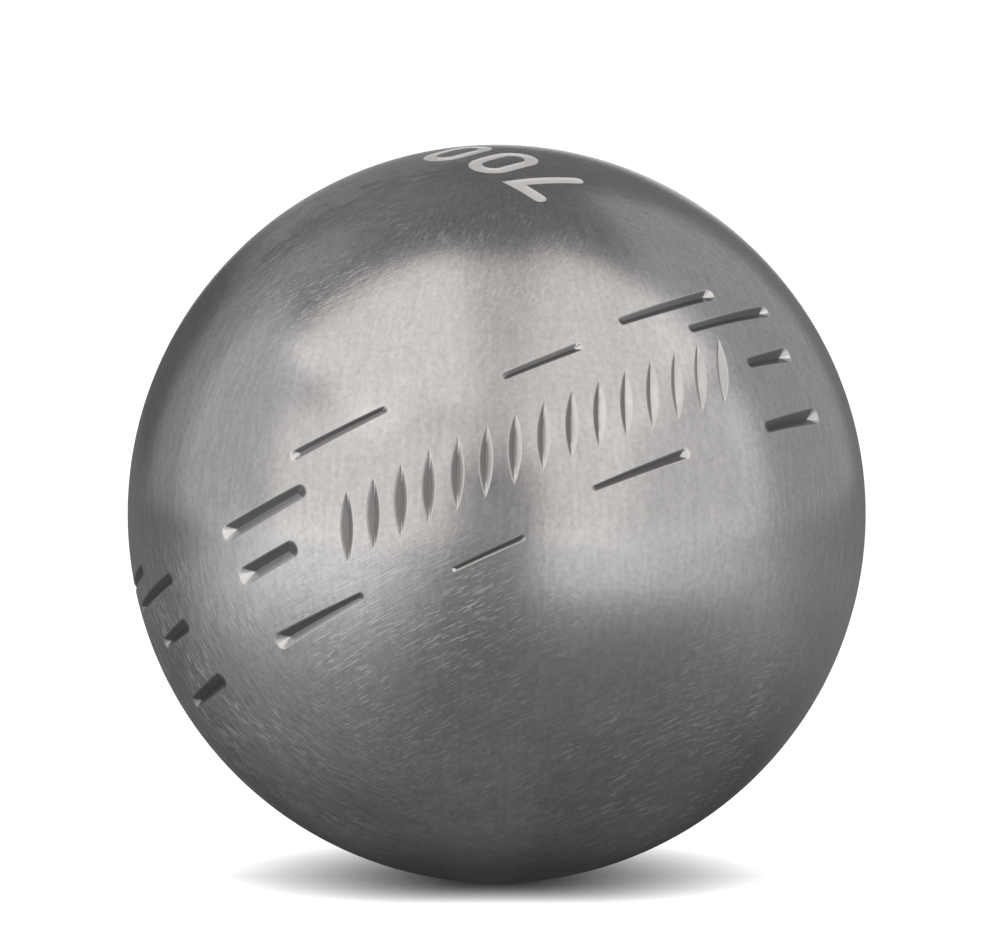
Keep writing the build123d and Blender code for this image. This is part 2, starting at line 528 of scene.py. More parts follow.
def ring_lattice(low, high, flat_radius):
    """Points in even rings over a flat disc or annulus, as radius and turn."""
    rows = []
    for radius in np.arange(high - SKIN_STEP * SKIN_INSET, low, -SKIN_STEP * SKIN_ROW):
        count = max(1, round(2 * pi * flat_radius(radius) / SKIN_STEP))
        stagger = (len(rows) % 2) / 2
        turn = (np.arange(count) + stagger) * 2 * pi / count
        rows.append(np.stack([np.full(count, radius), turn], 1))
    return np.concatenate(rows)


def shell_solid(side, marks):
    """One half shell: its marked dome, and its bevel, land and cavity."""
    solid = Solid()
    rim = solid.add(place(side * SEAM_LATITUDE, RIM_TURNS), np.zeros(RIM_POINTS))
    ends = [solid.add_mark(mark) for mark in marks]
    holes = [outer for outer, _ in ends]
    islands = [inner for _, inner in ends if inner is not None]

    def from_pole(height):
        return np.arccos(np.clip(side * height, -1, 1)) * BALL_RADIUS

    reach = BALL_RADIUS * (pi / 2 - SEAM_LATITUDE)
    rings = ring_lattice(0.0, reach, lambda radius: radius)
    lattice = place(side * (pi / 2 - rings[:, 0] / BALL_RADIUS), rings[:, 1])
    add_skin(solid, from_pole, [rim], holes, islands, lattice)
    rows = [rim] + [solid.add_circle(*row) for row in dome_profile(side)]
    solid.bridge(rows, INSIDE)
    pole = solid.add(np.array([[0, 0, side * 1.0]]), [WALL])[0]
    last = rows[-1]
    for here in range(RIM_POINTS):
        solid.add_face((last[here], last[(here + 1) % RIM_POINTS], pole), INSIDE)
    return solid


def weld_solid(marks):
    """The weld: its ground and marked outer strip, its bevels and its inner bead."""
    solid = Solid()
    rims = [solid.add(place(s * SEAM_LATITUDE, RIM_TURNS), np.zeros(RIM_POINTS)) for s in (1, -1)]
    holes = [solid.add_mark(mark)[0] for mark in marks]

    def as_ring(height):
        return BALL_RADIUS * (1 + np.arcsin(height))

    reach = BALL_RADIUS * SEAM_LATITUDE
    rings = ring_lattice(-reach + SKIN_STEP * SKIN_END, reach, lambda height: BALL_RADIUS)
    lattice = place(rings[:, 0] / BALL_RADIUS, rings[:, 1])
    add_skin(solid, as_ring, rims, holes, [], lattice)
    rows = [rims[0]] + [solid.add_circle(*row) for row in bead_profile()] + [rims[1]]
    solid.bridge(rows, INSIDE)
    return solid


def lie_matrix():
    """Turn from the axis of the marks to the lie of the ball."""
    turns = [("Z", LIE_TOWARDS), ("Y", LIE_LEAN), ("Z", LIE_SPIN)]
    lie = Matrix.Identity(3)
    for axis, angle in turns:
        lie = lie @ Matrix.Rotation(radians(angle), 3, axis)
    return lie


LIE = lie_matrix()
TURNING_AXIS = LIE.col[2]


def merged(solid):
    """Points with doubles joined, and faces without the corners that fell together."""
    keys = np.round(solid.points, JOINED_DIGITS)
    _, first, place_of = np.unique(keys, axis=0, return_index=True, return_inverse=True)
    place_of = place_of.reshape(-1)
    faces, finishes = [], []
    for face, finish in zip(solid.faces, solid.finishes):
        corners = []
        for corner in place_of[face]:
            if not corners or corner != corners[-1]:
                corners.append(int(corner))
        if len(corners) > 1 and corners[0] == corners[-1]:
            corners.pop()
        if len(corners) > 2:
            faces.append(corners)
            finishes.append(finish)
    return solid.points[first], solid.depths[first], faces, finishes


def read_all(items, name, width, kind):
    """One value of all a mesh's faces or corners, as rows."""
    values = np.zeros(len(items) * width, kind)
    items.foreach_get(name, values)
    return values.reshape(-1, width)


def round_normals(mesh, points, depths, finishes):
    """True ball normals on the ground skin, smooth ones in marks, flat ones inside."""
    unit = points / np.linalg.norm(points, axis=1)[:, None]
    face_normals = read_all(mesh.polygons, "normal", 3, float)
    areas = read_all(mesh.polygons, "area", 1, float)
    sizes = read_all(mesh.polygons, "loop_total", 1, int)[:, 0]
    vertex = read_all(mesh.loops, "vertex_index", 1, int)[:, 0]
    face = np.repeat(np.arange(len(sizes)), sizes)
    hidden = (np.array(finishes) == INSIDE)[face]
    shown = ~hidden
    smooth = np.zeros_like(unit)
    np.add.at(smooth, vertex[shown], (face_normals * areas)[face[shown]])
    length = np.linalg.norm(smooth, axis=1)[:, None]
    smooth = np.where(length > 0, smooth / np.maximum(length, TINY), unit)
    smooth = np.where((depths == 0)[:, None], unit, smooth)
    corner = np.where(hidden[:, None], face_normals[face], smooth[vertex])
    mesh.normals_split_custom_set(corner.tolist())


def add_object(name, data):
    thing = bpy.data.objects.new(name, data)
    bpy.context.scene.collection.objects.link(thing)
    return thing


def make_piece(name, solid, finishes_worn):
    """The scene's object of a solid, laid as the ball lies."""
    points, depths, faces, finishes = merged(solid)
    mesh = bpy.data.meshes.new(name)
    mesh.from_pydata((points * MM).tolist(), [], faces)
    build = bmesh.new()
    build.from_mesh(mesh)
    bmesh.ops.recalc_face_normals(build, faces=build.faces)
    build.to_mesh(mesh)
    build.free()
    for finish in finishes_worn:
        mesh.materials.append(finish)
    mesh.polygons.foreach_set("material_index", finishes)
    mesh.polygons.foreach_set("use_smooth", [True] * len(faces))
    round_normals(mesh, points, depths, finishes)
    mesh.transform(LIE.to_4x4())
    return add_object(name, mesh)


# Shader maths

NOISE_ROUGHNESS = 0.55
NOISE_MEAN = 0.5
FINE_DETAIL = 2.0


@dataclass
class Zone:
    """Part of the ball round a direction, by the cosines of its edge and of its core."""
    towards: Vector
    edge: float
    core: float


@dataclass
class Streaks:
    """Lines that a tool leaves about an axis, counted to a radius of the ball."""
    axis: Vector
    fineness: float
    breaks: float
    shift: float


class Wire:
    """An output socket that Python expressions can use."""

    def __init__(self, sheet, socket):
        self.sheet = sheet
        self.socket = socket

    def __add__(self, other):
        return self.sheet.math("ADD", self, other)

    def __sub__(self, other):
        return self.sheet.math("SUBTRACT", self, other)

    def __rsub__(self, other):
        return self.sheet.math("SUBTRACT", other, self)

    def __mul__(self, other):
        return self.sheet.math("MULTIPLY", self, other)

    __radd__ = __add__
    __rmul__ = __mul__


class NodeSheet:
    """The nodes of one material or of the world."""

    def __init__(self, owner):
        owner.use_nodes = True
        self.tree = owner.node_tree
        self.tree.nodes.clear()

    def node(self, kind, settings=None, sockets=None, out=0):
        """Adds a node: its settings first, then the values or links of its sockets."""
        node = self.tree.nodes.new("ShaderNode" + kind)
        for key, value in (settings or {}).items():
            if key == "stops":
                self.set_stops(node.color_ramp, value)
            else:
                setattr(node, key, value)
        for key, value in (sockets or {}).items():
            socket = node.inputs[key]
            if isinstance(value, Wire):
                self.tree.links.new(value.socket, socket)
            else:
                socket.default_value = value
        return Wire(self, node.outputs[out]) if node.outputs else None

    @staticmethod
    def set_stops(ramp, stops):
        while len(ramp.elements) < len(stops):
            ramp.elements.new(1.0)
        for element, (position, level) in zip(ramp.elements, stops):
            element.position = position
            element.color = (level, level, level, 1.0)

    def math(self, operation, first, second):
        return self.node("Math", {"operation": operation}, {0: first, 1: second})

    def vector(self, operation, sockets, out=0):
        return self.node("VectorMath", {"operation": operation}, sockets, out)

    def scaled(self, spot, factor):
        return self.vector("SCALE", {0: spot, "Scale": factor})

    def total(self, first, second):
        return self.vector("ADD", {0: first, 1: second})

    def heading(self, spot):
        return self.vector("NORMALIZE", {0: spot})

    def along(self, spot, direction):
        """How far a place lies along a direction."""
        return self.vector("DOT_PRODUCT", {0: spot, 1: direction}, "Value")

    def length(self, spot):
        return self.vector("LENGTH", {0: spot}, "Value")

    def ramp(self, value, stops):
        return self.node("ValToRGB", {"stops": stops}, {"Fac": value})

    def span(self, value, start, end):
        """0 at the start of a range, 1 at its end, and level outside it."""
        return self.node("MapRange", {}, {"Value": value, "From Min": start, "From Max": end})

    def zone(self, spot, zone):
        """1 in the core of a zone, fading to 0 at its edge."""
        return self.span(self.along(spot, zone.towards), zone.edge, zone.core)

    def noise(self, vector, scale=1.0, detail=FINE_DETAIL):
        sockets = {"Vector": vector, "Scale": scale, "Detail": detail, "Roughness": NOISE_ROUGHNESS}
        return self.node("TexNoise", {}, sockets)

    def mix(self, share, first, second):
        """Blend of two colours."""
        sockets = {0: share, 6: first, 7: second}
        return self.node("Mix", {"data_type": "RGBA"}, sockets, 2)

    def bump(self, height):
        sockets = {"Strength": 1.0, "Distance": SCRATCH_DEPTH, "Height": height}
        return self.node("Bump", {}, sockets, "Normal")

    def surface(self, shader):
        self.node("OutputMaterial", {}, {"Surface": shader})

    def steel(self, tone, roughness, metallic=1.0, **more):
        """Ends a material as steel."""
        sockets = {"Base Color": tone, "Metallic": metallic, "Roughness": roughness, **more}
        self.surface(self.node("BsdfPrincipled", {}, sockets))

    def glow(self, color, strength=1.0):
        """Ends a material as a surface that shines by itself."""
        self.surface(self.node("Emission", {}, {"Color": color, "Strength": strength}))


def new_material(name):
    material = bpy.data.materials.new(name)
    return material, NodeSheet(material)


def ball_place(sheet):
    """Place on the ball in radii from its middle."""
    place_on = sheet.node("TexCoord", out="Object")
    return sheet.scaled(place_on, 1 / (BALL_RADIUS * MM))


def ring_streaks(sheet, spot, streaks):
    """Streaks along circles round an axis, as a grinding belt leaves them."""
    height = sheet.along(spot, streaks.axis)
    stretch = sheet.scaled(streaks.axis, height * streaks.fineness)
    at = sheet.total(stretch, sheet.scaled(spot, streaks.breaks))
    shift = (streaks.shift, 2 * streaks.shift, -streaks.shift)
    return sheet.noise(sheet.total(at, shift))


def fan_streaks(sheet, spot, streaks):
    """Streaks that fan out from an axis, as a buffing wheel leaves them."""
    height = sheet.along(spot, streaks.axis)
    level = sheet.vector("SUBTRACT", {0: spot, 1: sheet.scaled(streaks.axis, height)})
    fine = sheet.scaled(sheet.heading(level), streaks.fineness)
    slow = sheet.scaled(streaks.axis, height * streaks.breaks + streaks.shift)
    return sheet.noise(sheet.total(fine, slow))


# Tones of the finishes

STEEL = (0.62, 0.61, 0.605, 1.0)
STEEL_DULL = (0.49, 0.485, 0.49, 1.0)
# lighter tone of worn steel, also used to paint the glint of the scratches
STEEL_WEAR_AND_GLINT = (0.87, 0.865, 0.86, 1.0)
# tone of the hips, lighter to paint their highlight
HIP_HIGHLIGHT_TONE = (0.82, 0.815, 0.81, 1.0)
# tone of the flanks lit from one side, lighter to paint their light
LIT_FLANK_TONE = (0.72, 0.715, 0.71, 1.0)
FLANK_STEEL = (0.58, 0.575, 0.57, 1.0)
FLANK_SCALE = (0.25, 0.245, 0.245, 1.0)
ENGRAVED_LIGHT = (0.86, 0.85, 0.84, 1.0)
ENGRAVED_DARK = (0.7, 0.7, 0.7, 1.0)
RAW_DARK = (0.25, 0.24, 0.24, 1.0)
RAW_WARM = (0.4, 0.37, 0.34, 1.0)

# Lines of the grinding and scratches of play

GRAIN_FINENESS = 72.0
GRAIN_BREAKS = 14.0
SCRATCH_FINENESS = 210.0
SCRATCH_BREAKS = 24.0
SCRATCH_DEPTH = 0.000012
BUFF_AXIS = Vector((0.0, 0.10, 0.995))
LIMB_AXIS = Vector((0.15, -0.98, 0.12)).normalized()
ARC_AXIS = Vector((-0.15, -0.97, 0.15)).normalized()
STEEP_AXIS = Vector((0.80, 0.15, -0.58)).normalized()
BUFF = Streaks(BUFF_AXIS, GRAIN_FINENESS, GRAIN_BREAKS, shift=1.7)
LIMB = Streaks(LIMB_AXIS, GRAIN_FINENESS, GRAIN_BREAKS, shift=8.2)
BELT = Streaks(TURNING_AXIS, GRAIN_FINENESS, GRAIN_BREAKS, shift=3.1)
NICK = Streaks(TURNING_AXIS, SCRATCH_FINENESS, SCRATCH_BREAKS, shift=4.4)
STEEP = Streaks(STEEP_AXIS, SCRATCH_FINENESS, SCRATCH_BREAKS, shift=5.3)
ARC = Streaks(ARC_AXIS, SCRATCH_FINENESS, SCRATCH_BREAKS, shift=6.1)
LOW_FRONT = Zone(Vector((-0.22, -0.87, -0.44)).normalized(), edge=0.81, core=0.95)
LOW_RIGHT = Zone(Vector((0.50, -0.62, -0.60)).normalized(), edge=0.88, core=0.97)
LOW_LEFT = Zone(Vector((-0.72, -0.38, -0.58)).normalized(), edge=0.80, core=0.94)
UPPER_LEFT = Zone(Vector((-0.48, -0.43, 0.76)).normalized(), edge=0.92, core=0.98)
TOP_FRONT = Zone(Vector((0.0, -0.72, 0.70)).normalized(), edge=0.90, core=0.98)
TOP_LEFT = Zone(Vector((-0.37, -0.23, 0.90)).normalized(), edge=0.90, core=0.97)
LIMB_START = 0.75
LIMB_FULL = 0.45
WEAVE_SHARE = 0.6
BUFF_SHARE = 0.4
BELT_SHARE = 0.7
BELT_LOW = 0.8
BELT_HIGH = 0.6
LIMB_SHARE = 0.8

# Noises and what they change

CLOUD_SCALE = 3.2
CLOUD_DETAIL = 5.0
FLECK_SCALE = 26.0
FLECK_DETAIL = 3.0
PATCH_SCALE = 5.0
PATCH_STOPS = ((0.36, 0.25), (0.62, 0.9))
NICK_STOPS = ((0.55, 0.0), (0.66, 1.0))
NICK_LOW = 0.85
NICK_HIGH = 0.55
STEEP_STOPS = ((0.54, 0.0), (0.68, 1.0))
STEEP_SHARE = 0.4
ARC_STOPS = ((0.49, 0.0), (0.63, 1.0))
ARC_SHARE = 1.2
WORN_STOPS = ((0.25, 0.3), (0.7, 1.0))
WORN_START = 0.76
WORN_FULL = 0.68
WORN_RAGGED = 0.3
WORN_FLECKED = 0.15
GRAIN_RELIEF = 0.9
FLECK_RELIEF = 0.25
GROUND_ROUGHNESS = 0.18
CLOUD_ROUGHNESS = 0.08
MARK_ROUGHNESS = 0.25
WORN_ROUGHNESS = 0.2
FLECK_ROUGHNESS = 0.04
DULLED = 0.35
GRAIN_DULLS = 3.0
CLOUD_DULLS = 0.3
WORN_BRIGHTENS = 0.65
# how far the scratches are lightened, which paints their glint
MARK_GLINT_PAINTED = 0.9
FLANK_CLOUD = (45.0, 4.0)      # scale and detail
FLANK_ROUGHNESS = 0.24
HIP_ROUGHNESS = 0.16
PRESSED_UNEVENNESS = 0.12
RUBBED_DEPTH = 0.03            # mm under the ball, down to which a flank is rubbed bright
SCALED_DEPTH = 0.15            # mm under the ball, from which it is all scale
SCALE_RAGGED = 0.06
ENGRAVED_CLOUD = (150.0, FINE_DETAIL)
ENGRAVED_METAL = 0.35
ENGRAVED_ROUGHNESS = 0.5
ENGRAVED_UNEVENNESS = 0.2
RAW_CLOUD = (9.0, CLOUD_DETAIL)
RAW_ROUGHNESS = 0.45
RAW_UNEVENNESS = 0.3


# Finishes

def grinding_grain(sheet, spot, limb, edge, belted):
    """Lines of belt and buffing wheel, either side of 0."""
    weave = sheet.noise(spot, GRAIN_FINENESS) - NOISE_MEAN
    buff = fan_streaks(sheet, spot, BUFF) - NOISE_MEAN
    belt = ring_streaks(sheet, spot, BELT) - NOISE_MEAN
    round_edge = (limb - NOISE_MEAN) * edge
    return weave * WEAVE_SHARE + buff * BUFF_SHARE + belt * belted * BELT_SHARE + round_edge * LIMB_SHARE


def play_marks(sheet, spot, low, high):
    """Scratches in patches: nicks below and upper left, steep ones on top, arcs low on the left."""
    side = sheet.zone(spot, LOW_LEFT)
    nicked = low * (1 - side) * NICK_LOW + high * NICK_HIGH
    nicks = sheet.ramp(ring_streaks(sheet, spot, NICK), NICK_STOPS) * nicked
    topped = sheet.zone(spot, TOP_FRONT) * STEEP_SHARE
    steeps = sheet.ramp(ring_streaks(sheet, spot, STEEP), STEEP_STOPS) * topped
    arcs = sheet.ramp(ring_streaks(sheet, spot, ARC), ARC_STOPS) * side * ARC_SHARE
    patchy = sheet.ramp(sheet.noise(spot, PATCH_SCALE), PATCH_STOPS)
    return (nicks + steeps + arcs) * patchy


def worn_patch(sheet, spot, facing, limb, cloud, fleck):
    """Patch with a ragged edge that rubbing has brightened, near the top on the left."""
    ragged = facing + limb * WORN_RAGGED + cloud * WORN_RAGGED + fleck * WORN_FLECKED
    edge = sheet.span(ragged, WORN_START, WORN_FULL)
    return sheet.zone(spot, TOP_LEFT) * edge * sheet.ramp(limb, WORN_STOPS)


def ground_steel():
    """Satin steel with belt and buffing lines, scratches of play lightened to paint their glint, and a
    worn patch.
    """
    material, sheet = new_material("ground_steel")
    spot = ball_place(sheet)
    cloud = sheet.noise(spot, CLOUD_SCALE, CLOUD_DETAIL)
    fleck = sheet.noise(spot, FLECK_SCALE, FLECK_DETAIL)
    limb = ring_streaks(sheet, spot, LIMB)
    facing = sheet.along(spot, LIMB_AXIS)
    edge = sheet.span(facing, LIMB_START, LIMB_FULL)
    low = sheet.zone(spot, LOW_FRONT) + sheet.zone(spot, LOW_RIGHT)
    high = sheet.zone(spot, UPPER_LEFT)
    grain = grinding_grain(sheet, spot, limb, edge, low * BELT_LOW + high * BELT_HIGH)
    marks = play_marks(sheet, spot, low, high)
    worn = worn_patch(sheet, spot, facing, limb, cloud, fleck)
    relief = grain * GRAIN_RELIEF + fleck * FLECK_RELIEF - marks
    unevenness = cloud * CLOUD_ROUGHNESS + fleck * FLECK_ROUGHNESS
    roughness = GROUND_ROUGHNESS + unevenness + marks * MARK_ROUGHNESS + worn * WORN_ROUGHNESS
    dulled = grain * GRAIN_DULLS + cloud * CLOUD_DULLS + DULLED
    tone = sheet.mix(dulled, STEEL, STEEL_DULL)
    # the scratches are real wear and their lighter tone is a painted glint; the worn patch is lighter
    # wear
    tone = sheet.mix(worn * WORN_BRIGHTENS + marks * MARK_GLINT_PAINTED, tone, STEEL_WEAR_AND_GLINT)
    sheet.steel(tone, roughness, Normal=sheet.bump(relief))
    return material


def stamped_steel():
    """Flanks of the marks: pressed smooth, dark with scale, and rubbed bright at the lips."""
    material, sheet = new_material("stamped_steel")
    spot = ball_place(sheet)
    cloud = sheet.noise(spot, *FLANK_CLOUD)
    depth = (1 - sheet.length(spot)) * BALL_RADIUS
    scale = sheet.span(depth + cloud * SCALE_RAGGED, RUBBED_DEPTH, SCALED_DEPTH)
    tone = sheet.mix(scale, FLANK_STEEL, FLANK_SCALE)
    roughness = FLANK_ROUGHNESS + cloud * PRESSED_UNEVENNESS
    sheet.steel(tone, roughness, Normal=sheet.bump(cloud))
    return material


def clouded_steel(name, cloud, tones, roughness, metallic=1.0):
    """Steel that clouds vary between two tones, with a least roughness and what they add to it."""
    material, sheet = new_material(name)
    share = sheet.noise(ball_place(sheet), *cloud)
    least, added = roughness
    sheet.steel(sheet.mix(share, *tones), least + share * added, metallic)
    return material


def make_finishes():
    """The finishes in the order of the material slots.

    The hips of the dashes, and the flanks lit from one side, have lighter tones that paint their
    highlight and their light. The digits have a bright, coarse floor.
    """
    hip = (HIP_ROUGHNESS, PRESSED_UNEVENNESS)
    flank = (FLANK_ROUGHNESS, PRESSED_UNEVENNESS)
    floor = (ENGRAVED_ROUGHNESS, ENGRAVED_UNEVENNESS)
    raw = (RAW_ROUGHNESS, RAW_UNEVENNESS)
    floor_tones = (ENGRAVED_LIGHT, ENGRAVED_DARK)
    return [
        ground_steel(),
        stamped_steel(),
        # lighter tones that paint the hips' highlight and the lit flanks' light
        clouded_steel("rubbed_steel", FLANK_CLOUD, (HIP_HIGHLIGHT_TONE, FLANK_STEEL), hip),
        clouded_steel("slid_steel", FLANK_CLOUD, (LIT_FLANK_TONE, FLANK_STEEL), flank),
        clouded_steel("engraved_steel", ENGRAVED_CLOUD, floor_tones, floor, ENGRAVED_METAL),
        clouded_steel("raw_steel", RAW_CLOUD, (RAW_DARK, RAW_WARM), raw),
    ]


# Pieces

def make_ball():
    finishes = make_finishes()
    upper, lower, seam = [], [], []
    for mark in band_marks():
        heights = mark.points[0][:, 2]
        if heights.min() > sin(SEAM_LATITUDE):
            upper.append(mark)
        elif heights.max() < -sin(SEAM_LATITUDE):
            lower.append(mark)
        else:
            seam.append(mark)
    solids = {
        "upper_half_shell": (shell_solid(1, upper + number_marks()), "shell_steel"),
        "lower_half_shell": (shell_solid(-1, lower), "shell_steel"),
        "weld_seam": (weld_solid(seam), "weld_steel"),
    }
    for node, (solid, slot) in solids.items():
        piece = make_piece(node + "_ground", solid, finishes)
        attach(piece, "root")
        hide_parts(node)


# Camera

CAMERA_ELEVATION = 6.0
CAMERA_DISTANCE = 0.555
CAMERA_LENS = 198.9
CAMERA_NEAR = 0.01
SENSOR_WIDTH = 36.0
IMAGE_WIDTH = 1000
BALL_LEFT_OF_MIDDLE = 3.3      # pixels
BALL_BELOW_MIDDLE = 39.1       # pixels


def make_camera():
    tilt = radians(CAMERA_ELEVATION)
    back = Vector((0, -cos(tilt), sin(tilt)))
    up = Vector((0, sin(tilt), cos(tilt)))
    pixel = CAMERA_DISTANCE * SENSOR_WIDTH / CAMERA_LENS / IMAGE_WIDTH
    aim = up * BALL_BELOW_MIDDLE * pixel + Vector((BALL_LEFT_OF_MIDDLE * pixel, 0, 0))
    data = bpy.data.cameras.new("camera")
    data.lens = CAMERA_LENS
    data.sensor_width = SENSOR_WIDTH
    data.clip_start = CAMERA_NEAR
    camera = add_object("camera", data)
    camera.location = aim + back * CAMERA_DISTANCE
    camera.rotation_euler = (-back).to_track_quat("-Z", "Y").to_euler()
    bpy.context.scene.camera = camera


# Studio: lengths in metres, angles in degrees from the ball, azimuths from the camera to its right

WARM = (1.0, 0.955, 0.91)
PLAIN = (1.0, 0.97, 0.96)
COOL = (0.97, 0.965, 1.0)
WHITE = (1.0, 1.0, 1.0, 1.0)
WORLD_FILL = 0.22

FLOOR_HEIGHT = -BALL_RADIUS * MM
FLOOR_SIZE = 6.0
PAPER = (0.3, 0.3, 0.3, 1.0)
SHADOW_REACH = 0.0101
SHADOW_CUT = 0.71              # how much of that reach is lost before the ball
SHADOW_BACK_CUT = 0.28         # and behind it
SHADOW_SOFTNESS = 0.87
SHADOW_SAMPLES = 8

ROOM_RADIUS = 2.5
ROOM_LEVEL = 0.19
WALL_TILE = 5.0
WALL_FOOT = -5.0
CORNER_LEVEL = 0.12
CORNER_START = 180.0
CORNER_END = 225.0
CORNER_TOP = 20.0
OPENING_HALF = 9.0
OPENING_TOP = 10.0
GAP_MIDDLE = -2.0
GAP_HALF = 9.0
CLOTH_DISTANCE = 0.8
CLOTH_FOOT = -6.0
CLOTH_TOP = 14.0
CLOTH_TILES = 8
CLOTH_LEVEL = 0.38

# Table card: stops of a reach from the ball, or of how far ahead, and the painted shade and light at
# each
TABLE_HOLE = 0.006
TABLE_SIDES = 64
TABLE_LIFT = 0.0003
TABLE_SPAN = 0.16
TABLE_SHADE = ((0.0, 0.02), (0.08, 0.06), (0.13, 0.14), (0.2, 0.18), (0.5, 0.215), (1.0, 0.28))
TABLE_LIGHT = ((0.15, 0.0), (0.33, 0.10), (0.5, 0.27), (0.86, 0.62), (1.0, 0.72))
TABLE_BESIDE = ((0.0, 0.1), (0.2, 0.55), (0.55, 1.0), (0.8, 0.1))
TABLE_BACK = ((0.25, 0.0), (0.5, 0.14), (0.9, 0.2))
TABLE_NEAR = ((0.18, 0.20), (0.3, 0.0))
LEFT_SIDE = (-0.18, -0.60)     # sines of the bearings from the gap at which a side starts and is full
RIGHT_SIDE = (0.12, 0.34)
FRONT = (-0.30, 0.45)
RIGHT_FRONT = (-0.10, 0.75)
SHADE_BEHIND = 0.6
LEFT_BACK_SHARE = 0.18
GLINT = 1.5


@dataclass
class Softbox:
    """Area lamp that fills an angle to each side of a direction, as the ball sees it."""
    name: str
    azimuth: float
    elevation: float
    half_wide: float
    half_high: float
    level: float
    distance: float = 0.8
    tint: tuple = COOL


@dataclass
class CeilingBox:
    """Lamp overhead, facing down, its four sides given as slants from the ball."""
    name: str
    left: float
    right: float
    front: float
    back: float
    level: float


SOFTBOXES = [
    Softbox("left_key", azimuth=-43.0, elevation=12.0, half_wide=30.5, half_high=21.5, level=0.84,
            distance=0.7, tint=WARM),
    Softbox("left_side", azimuth=-95.0, elevation=15.0, half_wide=19.0, half_high=27.0, level=0.40),
    Softbox("left_back", azimuth=-125.0, elevation=22.0, half_wide=12.0, half_high=32.0, level=0.16),
    Softbox("left_high", azimuth=-146.0, elevation=50.0, half_wide=15.0, half_high=13.0, level=0.05),
    Softbox("right_key", azimuth=26.0, elevation=14.0, half_wide=14.0, half_high=20.0, level=0.81,
            distance=0.7, tint=WARM),
    Softbox("right_side", azimuth=65.0, elevation=13.0, half_wide=25.0, half_high=17.5, level=0.57,
            tint=PLAIN),
    Softbox("right_back", azimuth=117.0, elevation=24.0, half_wide=32.0, half_high=34.0, level=0.24),
]
CEILING_HEIGHT = 0.8
CEILING_BOXES = [
    CeilingBox("ceiling_left", left=-1.3, right=-0.12, front=-1.3, back=0.06, level=0.91),
    CeilingBox("ceiling_middle", left=-0.12, right=0.17, front=-1.3, back=0.0, level=0.50),
    CeilingBox("ceiling_right", left=0.17, right=1.5, front=-1.3, back=0.10, level=0.81),
    CeilingBox("ceiling_front", left=-0.50, right=0.55, front=-2.4, back=-1.3, level=0.52),
]


def toward(azimuth, elevation):
    """Direction from the ball."""
    level = cos(radians(elevation))
    right = sin(radians(azimuth)) * level
    ahead = cos(radians(azimuth)) * level
    return Vector((right, -ahead, sin(radians(elevation))))


def add_lamp(name, wide, high, level, tint):
    """Area lamp of a brightness that doesn't depend on its size, unseen by the camera."""
    data = bpy.data.lights.new(name, "AREA")
    data.shape = "RECTANGLE"
    data.size = wide
    data.size_y = high
    data.energy = level * pi * wide * high
    data.color = tint
    lamp = add_object(name, data)
    lamp.visible_camera = False
    return lamp


def add_softbox(box):
    wide = 2 * box.distance * tan(radians(box.half_wide))
    high = 2 * box.distance * tan(radians(box.half_high))
    direction = toward(box.azimuth, box.elevation)
    lamp = add_lamp(box.name, wide, high, box.level, box.tint)
    lamp.location = direction * box.distance
    lamp.rotation_euler = (-direction).to_track_quat("-Z", "Y").to_euler()


def add_ceiling_box(box):
    wide = (box.right - box.left) * CEILING_HEIGHT
    deep = (box.back - box.front) * CEILING_HEIGHT
    middle = Vector(((box.left + box.right) / 2, (box.front + box.back) / 2, 1.0))
    lamp = add_lamp(box.name, wide, deep, box.level, WARM)
    lamp.location = middle * CEILING_HEIGHT


def shown_rays(sheet):
    """1 for rays from the camera, from gloss or through glass, else 0."""
    camera = sheet.node("LightPath", out="Is Camera Ray")
    gloss = sheet.node("LightPath", out="Is Glossy Ray")
    glass = sheet.node("LightPath", out="Is Transmission Ray")
    return sheet.math("MAXIMUM", camera, sheet.math("MAXIMUM", gloss, glass))


def make_world():
    """White all round for the camera and for metal, and dim for the rest."""
    world = bpy.data.worlds.new("studio")
    bpy.context.scene.world = world
    sheet = NodeSheet(world)
    strength = WORLD_FILL + shown_rays(sheet) * (1 - WORLD_FILL)
    light = sheet.node("Background", {}, {"Color": WHITE, "Strength": strength})
    sheet.node("OutputWorld", {}, {"Surface": light})


def add_mesh(name, spots, faces, material):
    mesh = bpy.data.meshes.new(name)
    mesh.from_pydata([tuple(spot) for spot in spots], [], faces)
    mesh.materials.append(material)
    thing = add_object(name, mesh)
    return thing


def white_paper():
    """Pale paper that shows white, and keeps the shadow close under the ball."""
    material, sheet = new_material("white_paper")
    heading = sheet.heading(sheet.node("TexCoord", out="Object"))
    front = sheet.along(heading, toward(0, 0))
    ahead = sheet.span(front, 0.0, 1.0)
    behind = sheet.span(front, 0.0, -1.0)
    reach = SHADOW_REACH * (1 - ahead * SHADOW_CUT - behind * SHADOW_BACK_CUT)
    open_sky = sheet.node("AmbientOcclusion", {"samples": SHADOW_SAMPLES}, {"Distance": reach}, "AO")
    lit = sheet.math("POWER", open_sky, SHADOW_SOFTNESS)
    glow = sheet.node("Emission", {}, {"Color": shown_rays(sheet) * lit, "Strength": 1.0})
    paper = sheet.node("BsdfDiffuse", {}, {"Color": PAPER})
    sheet.surface(sheet.node("AddShader", {}, {0: glow, 1: paper}))
    return material


def make_floor():
    half = FLOOR_SIZE / 2
    corners = [(-half, -half, 0), (half, -half, 0), (half, half, 0), (-half, half, 0)]
    floor = add_mesh("floor", corners, [(0, 1, 2, 3)], white_paper())
    floor.location.z = FLOOR_HEIGHT


def lit_card(name, level):
    """Plain card of an even level."""
    material, sheet = new_material(name)
    sheet.glow((*COOL, 1.0), level)
    return material


